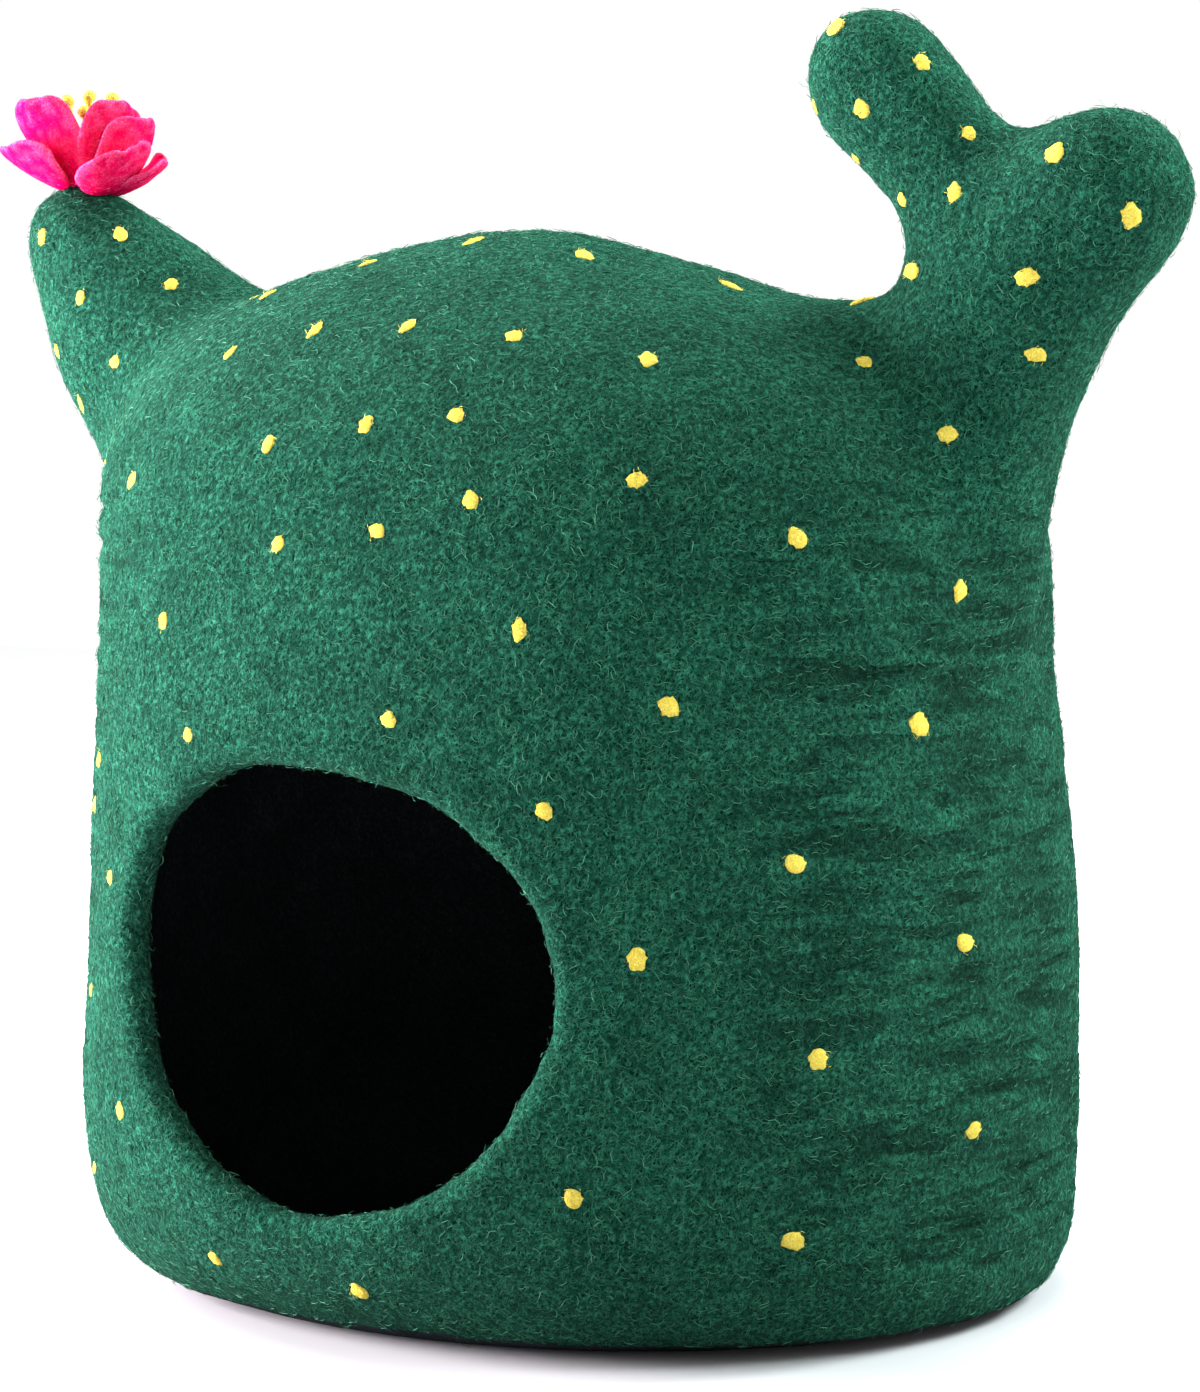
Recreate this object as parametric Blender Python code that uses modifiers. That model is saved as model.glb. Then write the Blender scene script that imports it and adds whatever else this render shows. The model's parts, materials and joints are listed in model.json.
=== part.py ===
"""Wool-felt cat cave in the form of a cactus: one hollow felt body with a round entrance,
a short arm that carries a felt flower, and a forked arm. Metres, +Z up, front towards -Y."""

import math

import bmesh
import bpy
from mathutils import Matrix, Vector
from mathutils.bvhtree import BVHTree

# ---------------------------------------------------------------- driving sizes (metres)
WALL = 0.009  # thickness of the felt wall
GAP = 0.0003  # clearance that keeps touching pieces apart
VOXEL = 0.0165  # facet size of the felted outer surface
SMOOTH_ROUNDS = 5  # how far the roots of the arms run into the body
RING_POINTS = 48  # points round one section of the body
LIMB_POINTS = 20  # points round one section of an arm

ENTRANCE_WIDTH = 0.186  # along its long axis
ENTRANCE_HEIGHT = 0.168
ENTRANCE_MIDDLE = (-0.006, 0.1415)  # X, Z
ENTRANCE_TILT = math.radians(17.6)  # the long axis sinks towards +X
ENTRANCE_SIDES = 36
ENTRANCE_REACH = (-0.30, -0.10)  # Y of the cutter's two ends, past both faces of the wall

FLOWER_MIDDLE = Vector((-0.244, 0.0, 0.500))  # on the flower's axis, well above the arm's tip
FLOWER_TURN = 29.0  # headings in the petal table count from this one, in degrees from +X
PETAL_THICKNESS = 0.0026
PETAL_WIDEST = 0.62  # where along its length a petal is widest
PETAL_END = 2.5  # squareness of its round end
STAMEN_RADIUS = 0.0011
STAMEN_HEAD_RADIUS = 0.0026

# One row for each level of the body, from the floor to the crown.
# height, half_width (X), half_depth (Y), middle_x, squareness (2 = ellipse)
BODY_LEVELS = (
    (-0.004, 0.187, 0.147, 0.009, 2.1),
    (0.000, 0.191, 0.154, 0.009, 2.1),
    (0.008, 0.197, 0.169, 0.007, 2.15),
    (0.022, 0.200, 0.182, 0.004, 2.2),
    (0.045, 0.200, 0.191, 0.001, 2.25),
    (0.080, 0.199, 0.195, -0.001, 2.3),
    (0.140, 0.200, 0.194, 0.001, 2.2),
    (0.200, 0.198, 0.190, 0.000, 2.2),
    (0.260, 0.194, 0.182, -0.002, 2.2),
    (0.310, 0.193, 0.168, -0.004, 2.2),
    (0.350, 0.184, 0.148, -0.010, 2.2),
    (0.380, 0.162, 0.122, -0.018, 2.2),
    (0.398, 0.137, 0.098, -0.025, 2.2),
    (0.412, 0.103, 0.072, -0.029, 2.2),
    (0.423, 0.067, 0.046, -0.029, 2.1),
    (0.431, 0.028, 0.020, -0.025, 2.0),
)

# One row for each section of an arm, from its root inside the body to the tip's middle.
# x, y, z, radius
LEFT_ARM = (
    (-0.148, 0.0, 0.297, 0.061),
    (-0.180, 0.0, 0.351, 0.055),
    (-0.218, 0.0, 0.393, 0.044),
    (-0.247, 0.0, 0.427, 0.030),
)
RIGHT_TRUNK = (
    (0.147, 0.0, 0.281, 0.050),
    (0.165, 0.0, 0.326, 0.043),
    (0.179, 0.0, 0.366, 0.041),
    (0.194, 0.0, 0.400, 0.048),
    (0.180, 0.0, 0.430, 0.034),
)
INNER_LOBE = (
    (0.178, 0.0, 0.430, 0.030),
    (0.160, 0.0, 0.460, 0.032),
    (0.132, 0.0, 0.492, 0.0335),
)
OUTER_LOBE = (
    (0.188, 0.0, 0.418, 0.040),
    (0.213, 0.0, 0.428, 0.037),
    (0.235, 0.0, 0.442, 0.0355),
)

# One row for each petal of the flower.
# name, heading (degrees), rise at the root and at the tip (degrees above level), root_radius,
# root_width, length, width, roll (degrees about its own length), cup (edge rise over half width)
PETALS = (
    ("petal_outer_1", 202, 12, 44, 0.0110, 0.0095, 0.040, 0.031, 0, 0.30),
    ("petal_outer_2", 300, 6, 46, 0.0110, 0.0105, 0.037, 0.035, 20, 0.28),
    ("petal_outer_3", 354, 4, 28, 0.0115, 0.0080, 0.030, 0.025, 6, 0.20),
    ("petal_outer_4", 62, 10, 42, 0.0110, 0.0095, 0.034, 0.029, 0, 0.25),
    ("petal_outer_5", 130, 10, 44, 0.0110, 0.0095, 0.034, 0.029, 0, 0.25),
    ("petal_inner_1", 220, 42, 76, 0.0066, 0.0060, 0.048, 0.034, 16, 0.26),
    ("petal_inner_2", 312, 50, 84, 0.0060, 0.0060, 0.044, 0.0275, 14, 0.26),
    ("petal_inner_3", 14, 28, 60, 0.0070, 0.0060, 0.041, 0.030, 8, 0.26),
    ("petal_inner_4", 80, 50, 82, 0.0059, 0.0055, 0.044, 0.0245, 17, 0.26),
    ("petal_inner_5", 145, 40, 74, 0.0067, 0.0055, 0.046, 0.027, 16, 0.26),
)

# One row for each stamen: name, heading (degrees), root_radius, height, lean (degrees from upright)
STAMENS = (
    ("stamen_1", 180, 0.0019, 0.041, 12),
    ("stamen_2", 90, 0.0019, 0.044, 4),
    ("stamen_3", 0, 0.0019, 0.043, 14),
    ("stamen_4", 270, 0.0019, 0.035, 10),
)


def clear_scene():
    for old in list(bpy.data.objects):
        bpy.data.objects.remove(old, do_unlink=True)


def new_collection(name):
    made = bpy.data.collections.new(name)
    bpy.context.scene.collection.children.link(made)
    return made


def wool(name, colour, roughness=0.95):
    material = bpy.data.materials.new(name)
    material.use_nodes = True
    shader = material.node_tree.nodes["Principled BSDF"]
    shader.inputs["Base Color"].default_value = (*colour, 1.0)
    shader.inputs["Roughness"].default_value = roughness
    shader.inputs["Metallic"].default_value = 0.0
    return material


def mesh_object(name, bm, collection, material=None):
    mesh = bpy.data.meshes.new(name)
    bmesh.ops.recalc_face_normals(bm, faces=bm.faces)
    bm.to_mesh(mesh)
    bm.free()
    made = bpy.data.objects.new(name, mesh)
    collection.objects.link(made)
    if material is not None:
        mesh.materials.append(material)
    return made


def loft(bm, rings):
    """Skins a row of closed rings, each a list of points, and closes both ends with a fan."""
    made = [[bm.verts.new(point) for point in ring] for ring in rings]
    count = len(made[0])
    for lower, upper in zip(made, made[1:]):
        for i in range(count):
            j = (i + 1) % count
            bm.faces.new((lower[i], lower[j], upper[j], upper[i]))
    for ring in (made[0], made[-1]):
        middle = bm.verts.new(sum((v.co for v in ring), Vector()) / count)
        for i in range(count):
            bm.faces.new((ring[i], ring[(i + 1) % count], middle))


def superellipse(half_width, half_depth, squareness, count):
    points = []
    for i in range(count):
        angle = math.tau * i / count
        c, s = math.cos(angle), math.sin(angle)
        x = math.copysign(abs(c) ** (2 / squareness), c) * half_width
        y = math.copysign(abs(s) ** (2 / squareness), s) * half_depth
        points.append((x, y))
    return points


def body_loft(bm, inset=0.0):
    """The barrel of the body, or its hollow when inset by the wall."""
    top = BODY_LEVELS[-1][0]
    rings = []
    for height, half_width, half_depth, middle_x, squareness in BODY_LEVELS:
        z = height if inset == 0 else inset + max(height, 0.0) / top * (top - 2 * inset)
        flat = superellipse(half_width - inset, half_depth - inset, squareness, RING_POINTS)
        rings.append([Vector((x + middle_x, y, z)) for x, y in flat])
    loft(bm, rings)


def limb(bm, sections, end_rings=4):
    """A round arm along a table of sections, closed by half a ball at its tip."""
    centres = [Vector(row[:3]) for row in sections]
    rows = []
    for i, row in enumerate(sections):
        ahead = centres[min(i + 1, len(centres) - 1)]
        behind = centres[max(i - 1, 0)]
        rows.append((centres[i], (ahead - behind).normalized(), row[3]))
    centre, direction, radius = rows[-1]
    for k in range(1, end_rings + 1):
        turn = math.radians(85) * k / end_rings
        rows.append((centre + direction * radius * math.sin(turn), direction,
                     radius * math.cos(turn)))
    depth = Vector((0, 1, 0))
    rings = []
    for centre, direction, radius in rows:
        across = depth.cross(direction).normalized()
        turns = [math.tau * i / LIMB_POINTS for i in range(LIMB_POINTS)]
        rings.append([centre + (across * math.cos(a) + depth * math.sin(a)) * radius for a in turns])
    loft(bm, rings)


def evaluated_mesh(source, name):
    """The mesh of an object with its modifiers applied."""
    bpy.context.view_layer.update()
    graph = bpy.context.evaluated_depsgraph_get()
    mesh = bpy.data.meshes.new_from_object(source.evaluated_get(graph))
    mesh.name = name
    return mesh


def surface_of(source):
    """A search tree of an object's evaluated surface, for rays."""
    mesh = evaluated_mesh(source, "surface_test")
    bm = bmesh.new()
    bm.from_mesh(mesh)
    tree = BVHTree.FromBMesh(bm)
    bm.free()
    bpy.data.meshes.remove(mesh)
    return tree


def felt_outer(collection, material):
    """The closed outer surface: body and arms fused and smoothed as felting does it, flat below."""
    bm = bmesh.new()
    body_loft(bm)
    for sections in (LEFT_ARM, RIGHT_TRUNK, INNER_LOBE, OUTER_LOBE):
        limb(bm, sections)
    form = mesh_object("outer_form", bm, collection)
    fuse = form.modifiers.new("fuse", "REMESH")
    fuse.mode = "VOXEL"
    fuse.voxel_size = VOXEL
    relax = form.modifiers.new("relax", "SMOOTH")
    relax.factor = 0.5
    relax.iterations = SMOOTH_ROUNDS
    mesh = evaluated_mesh(form, "felt_shell")
    bpy.data.objects.remove(form, do_unlink=True)
    for vertex in mesh.vertices:
        vertex.co.z = max(vertex.co.z, 0.0)
    mesh.materials.clear()
    mesh.materials.append(material)
    made = bpy.data.objects.new("felt_shell", mesh)
    collection.objects.link(made)
    return made


def cutter(made):
    """Marks an object as a tool shape that is no piece of the part."""
    made.hide_render = True
    made.display_type = "WIRE"
    return made


def cut(target, tool, name):
    boolean = target.modifiers.new(name, "BOOLEAN")
    boolean.operation = "DIFFERENCE"
    boolean.solver = "EXACT"
    boolean.object = tool


def hollow_form(collection):
    bm = bmesh.new()
    body_loft(bm, inset=WALL)
    return cutter(mesh_object("hollow_form", bm, collection))


def entrance_form(collection):
    """A slightly tilted oval bar that runs along Y through the front wall."""
    bm = bmesh.new()
    front, back = ENTRANCE_REACH
    bmesh.ops.create_cone(bm, cap_ends=True, segments=ENTRANCE_SIDES, radius1=0.5, radius2=0.5,
                          depth=back - front)
    stretch = Matrix.Diagonal((ENTRANCE_WIDTH, ENTRANCE_HEIGHT, 1.0, 1.0))
    stand = Matrix.Rotation(math.radians(90), 4, "X")
    tilt = Matrix.Rotation(ENTRANCE_TILT, 4, "Y")
    x, z = ENTRANCE_MIDDLE
    place = Matrix.Translation((x, (front + back) / 2, z))
    bmesh.ops.transform(bm, matrix=place @ tilt @ stand @ stretch, verts=bm.verts)
    return cutter(mesh_object("entrance_form", bm, collection))


def petal_width(share, root_width, width):
    """Width of a petal at a share of its length: it opens from its root and ends round."""
    if share < PETAL_WIDEST:
        return root_width + (width - root_width) * math.sin(math.pi / 2 * share / PETAL_WIDEST)
    left = max(1 - ((share - PETAL_WIDEST) / (1.03 - PETAL_WIDEST)) ** PETAL_END, 0.0)
    return width * left ** (1 / PETAL_END)


def petal(row, collection, material, along=6, across=4):
    """A cupped leaf of felt that leaves the flower's axis and curves up to its tip."""
    name, heading, root_rise, tip_rise, root_radius, root_width, length, width, roll, cup = row
    turn = math.radians(heading + FLOWER_TURN)
    outward = Vector((math.cos(turn), math.sin(turn), 0))
    sideways = Vector((-math.sin(turn), math.cos(turn), 0))
    bm = bmesh.new()
    grid = []
    place = outward * root_radius
    for i in range(along + 1):
        share = i / along
        rise = math.radians(root_rise + (tip_rise - root_rise) * share)
        forward = outward * math.cos(rise) + Vector((0, 0, math.sin(rise)))
        if i:
            place = place + forward * length / along
        inner = sideways.cross(forward) * -1
        edge = Matrix.Rotation(math.radians(roll) * share, 3, forward) @ sideways
        half = petal_width(share, root_width, width) / 2
        line = []
        for j in range(across + 1):
            t = 2 * j / across - 1
            line.append(bm.verts.new(place + edge * half * t + inner * half * cup * t * t))
        grid.append(line)
    for low, high in zip(grid, grid[1:]):
        for j in range(across):
            bm.faces.new((low[j], low[j + 1], high[j + 1], high[j]))
    made = mesh_object(name, bm, collection, material)
    body = made.modifiers.new("thickness", "SOLIDIFY")
    body.thickness = PETAL_THICKNESS
    body.offset = 0.0
    soft = made.modifiers.new("soft", "SUBSURF")
    soft.levels = soft.render_levels = 1
    return made


def stamen(row, collection, material):
    """A strand of felt with a round head, one turned profile."""
    name, heading, root_radius, height, lean = row
    neck = height - 2 * STAMEN_HEAD_RADIUS
    profile = [(0, height)]
    for k in range(1, 5):
        angle = math.radians(90 - 37 * k)
        profile.append((STAMEN_HEAD_RADIUS * math.cos(angle),
                        neck + STAMEN_HEAD_RADIUS * (1 + math.sin(angle))))
    profile += [(STAMEN_RADIUS, neck - 0.001), (STAMEN_RADIUS, neck / 2), (STAMEN_RADIUS, 0), (0, 0)]
    bm = bmesh.new()
    points = [bm.verts.new((x, 0, z)) for x, z in profile]
    for upper, lower in zip(points, points[1:]):
        bm.edges.new((upper, lower))
    made = mesh_object(name, bm, collection, material)
    turned = made.modifiers.new("turned", "SCREW")
    turned.steps = turned.render_steps = 8
    turned.use_merge_vertices = True
    turned.merge_threshold = 0.0001
    turn = math.radians(heading + FLOWER_TURN)
    tilt = math.radians(lean)
    outward = Vector((math.cos(turn), math.sin(turn), 0))
    upwards = outward * math.sin(tilt) + Vector((0, 0, math.cos(tilt)))
    made.rotation_euler = upwards.to_track_quat("Z", "Y").to_euler()
    made.location = outward * root_radius
    return made


def seat(piece, shell):
    """Lowers a piece of the flower until its lowest point stands one gap over the shell."""
    piece.location += FLOWER_MIDDLE
    bpy.context.view_layer.update()
    mesh = evaluated_mesh(piece, "seat_test")
    drops = []
    for vertex in mesh.vertices:
        start = piece.matrix_world @ vertex.co
        hit = shell.ray_cast(start, Vector((0, 0, -1)))[3]
        if hit is not None:
            drops.append(hit)
    bpy.data.meshes.remove(mesh)
    piece.location.z -= min(drops) - GAP


def main():
    clear_scene()
    cactus = new_collection("felt_cat_cave")
    tools = new_collection("cutters")
    green = wool("green_felt", (0.016, 0.135, 0.075))
    pink = wool("pink_felt", (0.90, 0.005, 0.13))
    yellow = wool("yellow_felt", (0.92, 0.62, 0.08))
    outer = felt_outer(cactus, green)
    cut(outer, hollow_form(tools), "hollow")
    cut(outer, entrance_form(tools), "entrance")
    shell = surface_of(outer)
    for row in PETALS:
        seat(petal(row, cactus, pink), shell)
    for row in STAMENS:
        seat(stamen(row, cactus, yellow), shell)


main()
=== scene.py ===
# Wool-felt cat cave in the form of a cactus: its finish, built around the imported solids.
# Metres, +Z up, the entrance towards -Y, the flower's arm towards -X.
import json
import math
import random

import bmesh
import bpy
import numpy as np
from mathutils import Matrix, Vector, noise
from mathutils.bvhtree import BVHTree

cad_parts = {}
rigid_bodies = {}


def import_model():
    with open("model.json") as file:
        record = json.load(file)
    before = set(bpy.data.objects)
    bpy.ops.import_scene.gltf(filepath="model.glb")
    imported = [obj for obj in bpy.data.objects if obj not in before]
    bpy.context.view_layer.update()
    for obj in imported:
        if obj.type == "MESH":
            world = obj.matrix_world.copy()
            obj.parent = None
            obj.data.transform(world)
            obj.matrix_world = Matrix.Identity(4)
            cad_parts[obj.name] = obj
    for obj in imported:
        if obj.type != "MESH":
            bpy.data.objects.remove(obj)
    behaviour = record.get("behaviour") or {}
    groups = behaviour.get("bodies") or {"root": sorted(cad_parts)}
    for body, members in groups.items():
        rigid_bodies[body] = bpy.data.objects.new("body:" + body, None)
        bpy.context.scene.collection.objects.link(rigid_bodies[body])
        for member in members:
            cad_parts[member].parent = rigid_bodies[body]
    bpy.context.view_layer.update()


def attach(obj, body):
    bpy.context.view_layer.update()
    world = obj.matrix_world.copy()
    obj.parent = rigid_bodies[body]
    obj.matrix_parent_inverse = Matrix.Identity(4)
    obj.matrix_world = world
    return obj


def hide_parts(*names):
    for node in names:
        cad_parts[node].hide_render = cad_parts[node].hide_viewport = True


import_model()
everything = bpy.context.scene.collection


# Small helpers.
def say(words):
    print("cat cave:", words, flush=True)


def placeMesh(name, mesh, *materials):
    made = bpy.data.objects.new(name, mesh)
    everything.objects.link(made)
    for material in materials:
        mesh.materials.append(material)
    return made


def meshFrom(bm, name):
    mesh = bpy.data.meshes.new(name)
    bm.to_mesh(mesh)
    bm.free()
    return mesh


# The object's mesh as its modifiers leave it; the object itself goes.
def settle(made, name):
    bpy.context.view_layer.update()
    graph = bpy.context.evaluated_depsgraph_get()
    mesh = bpy.data.meshes.new_from_object(made.evaluated_get(graph))
    mesh.name = name
    bpy.data.objects.remove(made, do_unlink=True)
    return mesh


def vectorsOf(items, field):
    values = np.empty(len(items) * 3)
    items.foreach_get(field, values)
    return values.reshape(-1, 3)


def storeFloat(mesh, name, values):
    attribute = mesh.attributes.new(name, "FLOAT", "POINT")
    attribute.data.foreach_set("value", np.asarray(values, np.float32))


def smoothStep(low, high, x):
    t = np.clip((x - low) / (high - low), 0.0, 1.0)
    return t * t * (3 - 2 * t)


# The camera comes first, because the dots and creases are placed through it.
shot = {
    "width": 1200, "height": 1392,          # the picture's frame, in pixels
    "turn": math.radians(29.0),             # to the right of the front
    "rise": math.radians(4.5),              # above level
    "distance": 1.9,
    "pixel": 0.00041,                       # size of a pixel at that distance
    "target": Vector((0.0085, 0.0, 0.240)),
    "sensor": 36.0,
}


def cameraAxes():
    turn, rise = shot["turn"], shot["rise"]
    back = Vector((math.sin(turn) * math.cos(rise), -math.cos(turn) * math.cos(rise), math.sin(rise)))
    right = Vector((math.cos(turn), math.sin(turn), 0.0))
    return right, back.cross(right), back


def addCamera():
    right, up, back = cameraAxes()
    lens = bpy.data.cameras.new("camera")
    lens.sensor_width = shot["sensor"]
    lens.lens = shot["sensor"] * shot["distance"] / shot["pixel"] / shot["height"]
    made = bpy.data.objects.new("camera", lens)
    everything.objects.link(made)
    made.matrix_world = Matrix.Translation(shot["target"] + back * shot["distance"]) @ Matrix(
        (right, up, back)).transposed().to_4x4()
    bpy.context.scene.camera = made


def cameraSpot():
    return shot["target"] + cameraAxes()[2] * shot["distance"]


# A ray from the camera through a pixel of the picture's frame.
def pixelRay(x, y):
    right, up, back = cameraAxes()
    start = cameraSpot()
    reach = shot["distance"] / shot["pixel"]
    way = right * (x - shot["width"] / 2) - up * (y - shot["height"] / 2) - back * reach
    return start, way.normalized()


# Where that ray meets the felt. At the outline it steps towards the middle until it does.
def pixelOnFelt(felt, x, y, step=2.0, tries=9, grazing=-0.12):
    middle = Vector((shot["width"] / 2, shot["height"] / 2))
    pixel = Vector((x, y))
    inwards = (middle - pixel).normalized() * step
    for _ in range(tries):
        start, way = pixelRay(*pixel)
        point, normal, _, _ = felt.ray_cast(start, way)
        if point is not None and normal.dot(way) < grazing:
            return point, normal
        pixel += inwards
    return None, None


# The socket of this name that the node's settings leave in use.
def shown(sockets, name):
    return next(socket for socket in sockets if socket.name == name and socket.enabled)


# A node with its settings and inputs. An input takes a value, or a link from another node's output.
def addNode(tree, kind, inputs=(), **settings):
    node = tree.nodes.new(kind)
    for name, value in settings.items():
        setattr(node, name, value)
    for key, value in dict(inputs).items():
        socket = shown(node.inputs, key) if isinstance(key, str) else node.inputs[key]
        if isinstance(value, bpy.types.NodeSocket):
            tree.links.new(value, socket)
        else:
            socket.default_value = value
    return node


def maths(tree, operation, *values):
    return addNode(tree, "ShaderNodeMath", enumerate(values), operation=operation).outputs[0]


def vectorMaths(tree, operation, *values, **named):
    inputs = {**dict(enumerate(values)), **named}
    return addNode(tree, "ShaderNodeVectorMath", inputs, operation=operation).outputs[0]


def noiseCloud(tree, vector, scale, detail, output="Fac", distortion=0.0):
    return addNode(tree, "ShaderNodeTexNoise", {
        "Vector": vector, "Scale": scale, "Detail": detail, "Distortion": distortion}).outputs[output]


def mapRange(tree, value, low, high, atLow=0.0, atHigh=1.0, shape="LINEAR"):
    return addNode(tree, "ShaderNodeMapRange", {
        "Value": value, "From Min": low, "From Max": high, "To Min": atLow, "To Max": atHigh},
        interpolation_type=shape).outputs[0]


def mixColour(tree, factor, first, second, blend="MIX"):
    first, second = [(*colour, 1.0) if isinstance(colour, tuple) else colour for colour in (first, second)]
    return addNode(tree, "ShaderNodeMix", {"Factor": factor, "A": first, "B": second},
                   data_type="RGBA", blend_type=blend).outputs[2]


def readFloat(tree, name):
    return addNode(tree, "ShaderNodeAttribute", attribute_name=name).outputs["Fac"]


# A curly tangle of strands: the walls of warped cells and thin lines where stretched noise passes its
# middle value, over a fine grain. Puts out the strands, the grain, soft large patches and a height.
wool = {
    "inputs": (("Size", 1.0), ("Length", 0.0040), ("Thickness", 0.0008), ("Grain", 0.0005),
               ("Patch", 0.03)),
    "nets": ((0.0019, (0.3, 0.2, 0.0)), (0.0027, (1.2, 0.5, 0.9)), (0.0038, (0.4, -0.9, 1.9))),
    "lines": ((-0.8, 0.3, 2.6), (0.9, 1.3, 0.5), (-0.3, -1.1, 1.3)),
    "curls": 330.0, "warp": 0.0016,                   # how often and how far the strands curl
    "fading": 420.0, "faded": (0.36, 0.64, 0.25),     # how often they fade, between which values, how far
    "netWidth": 0.065, "lineWidth": 0.045,
    "grainHeight": 0.7,
}


def woolGroup():
    group = bpy.data.node_groups.new("woolStrands", "ShaderNodeTree")
    for name, value in wool["inputs"]:
        socket = group.interface.new_socket(name=name, in_out="INPUT", socket_type="NodeSocketFloat")
        socket.default_value = value
    for name in ("Strands", "Grain", "Patches", "Height"):
        group.interface.new_socket(name=name, in_out="OUTPUT", socket_type="NodeSocketFloat")
    given = addNode(group, "NodeGroupInput").outputs
    place = addNode(group, "ShaderNodeTexCoord").outputs["Object"]

    def inverse(name):
        return maths(group, "DIVIDE", 1.0, given[name])

    def turned(vector, turn):
        return addNode(group, "ShaderNodeVectorRotate", {"Vector": vector, "Rotation": turn},
                       rotation_type="EULER_XYZ").outputs[0]

    def lineAlong(value, width):
        return mapRange(group, value, 0.0, width, 1.0, 0.0, "SMOOTHSTEP")

    sized = vectorMaths(group, "SCALE", place, Scale=inverse("Size"))
    bends = noiseCloud(group, sized, wool["curls"], 1.0, "Color")
    bent = vectorMaths(group, "SUBTRACT", bends, (0.5, 0.5, 0.5))
    curled = vectorMaths(group, "ADD", sized, vectorMaths(group, "SCALE", bent, Scale=wool["warp"] * 2))
    drawn = []
    for size, turn in wool["nets"]:
        cells = addNode(group, "ShaderNodeTexVoronoi", {"Vector": turned(curled, turn), "Scale": 1 / size},
                        feature="DISTANCE_TO_EDGE")
        drawn.append(lineAlong(cells.outputs["Distance"], wool["netWidth"]))
    thin = inverse("Thickness")
    stretch = addNode(group, "ShaderNodeCombineXYZ", {"X": inverse("Length"), "Y": thin, "Z": thin})
    for turn in wool["lines"]:
        stretched = vectorMaths(group, "MULTIPLY", turned(curled, turn), stretch.outputs[0])
        value = noiseCloud(group, stretched, 0.5, 1.0)
        off = maths(group, "ABSOLUTE", maths(group, "SUBTRACT", value, 0.5))
        drawn.append(lineAlong(off, wool["lineWidth"]))
    total = drawn[0]
    for line in drawn[1:]:
        total = maths(group, "MAXIMUM", total, line)
    low, high, least = wool["faded"]
    lit = mapRange(group, noiseCloud(group, sized, wool["fading"], 1.0), low, high, least)
    total = maths(group, "MULTIPLY", total, lit)
    grain = noiseCloud(group, place, inverse("Grain"), 2.0)
    addNode(group, "NodeGroupOutput", {
        "Strands": total, "Grain": grain, "Patches": noiseCloud(group, place, inverse("Patch"), 3.0),
        "Height": maths(group, "ADD", total, maths(group, "MULTIPLY", grain, wool["grainHeight"]))})
    return group


def newMaterial(name, colour, roughness=0.95, sheen=0.0, sheenTint=(1, 1, 1)):
    material = bpy.data.materials.new(name)
    material.use_nodes = True
    shader = material.node_tree.nodes["Principled BSDF"]
    for socket, value in (("Base Color", (*colour, 1.0)), ("Roughness", roughness),
                          ("Specular IOR Level", 0.0), ("Sheen Weight", sheen),
                          ("Sheen Roughness", 0.5), ("Sheen Tint", (*sheenTint, 1.0))):
        shader.inputs[socket].default_value = value
    return material, shader


# Felt of dark, middle and light strands, with soft patches and a bump. A finish of its own, if given,
# works on the colour and may add folds.
def feltMaterial(name, strands, colours, size=1.0, bump=0.0006, patchGain=0.35, own=None, **finish):
    material, shader = newMaterial(name, colours["middle"], **finish)
    tree = material.node_tree
    tangle = addNode(tree, "ShaderNodeGroup", node_tree=strands)
    tangle.inputs["Size"].default_value = size
    grain = mapRange(tree, tangle.outputs["Grain"], 0.35, 0.65)
    ground = mixColour(tree, grain, colours["dark"], colours["middle"])
    colour = mixColour(tree, tangle.outputs["Strands"], ground, colours["light"])
    patch = mapRange(tree, tangle.outputs["Patches"], 0.3, 0.7, 1 - patchGain / 2, 1 + patchGain / 2)
    grey = addNode(tree, "ShaderNodeCombineColor", {"Red": patch, "Green": patch, "Blue": patch})
    colour = mixColour(tree, 1.0, colour, grey.outputs[0], "MULTIPLY")
    raised = addNode(tree, "ShaderNodeBump", {
        "Strength": 1.0, "Distance": bump, "Height": tangle.outputs["Height"]})
    if own is not None:
        colour = own(tree, tangle, colour, raised)
    tree.links.new(colour, shader.inputs["Base Color"])
    tree.links.new(raised.outputs[0], shader.inputs["Normal"])
    return material


greenWool = {
    "dark": (0.0003, 0.0072, 0.0040),
    "middle": (0.0005, 0.0160, 0.0092),
    "light": (0.0175, 0.1180, 0.0700),
    "strandDark": (0.0010, 0.0210, 0.0120),
    "strandLight": (0.0560, 0.1900, 0.1170),
    "sheen": 0.02, "sheenTint": (0.85, 0.95, 0.88),
    # how often the wrinkles change level and upwards, where they begin and are deepest in the noise
    "wrinkles": ((15.0, 95.0, 0.52, 0.64), (27.0, 170.0, 0.55, 0.68)),
    # the wrinkles' bump depth, then the painted shade in wrinkle troughs and in creases, and the most of
    # it
    "wrinkleDepth": 0.0016, "wrinkleShade": 0.50, "creaseShade": 0.75, "mostShade": 0.85,
}
pinkWool = {
    "dark": (0.34, 0.0002, 0.020),
    "middle": (0.62, 0.0003, 0.058),
    "light": (0.74, 0.001, 0.085),
    "frost": (0.74, 0.120, 0.29),
}
yellowWool = {
    "dark": (0.52, 0.34, 0.022),
    "middle": (0.84, 0.65, 0.065),
    "light": (0.94, 0.82, 0.18),
}
insideWool = {
    "dark": (0.0080, 0.0110, 0.0120),
    "middle": (0.0150, 0.0185, 0.0210),
    "light": (0.0300, 0.0400, 0.0420),
}


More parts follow.
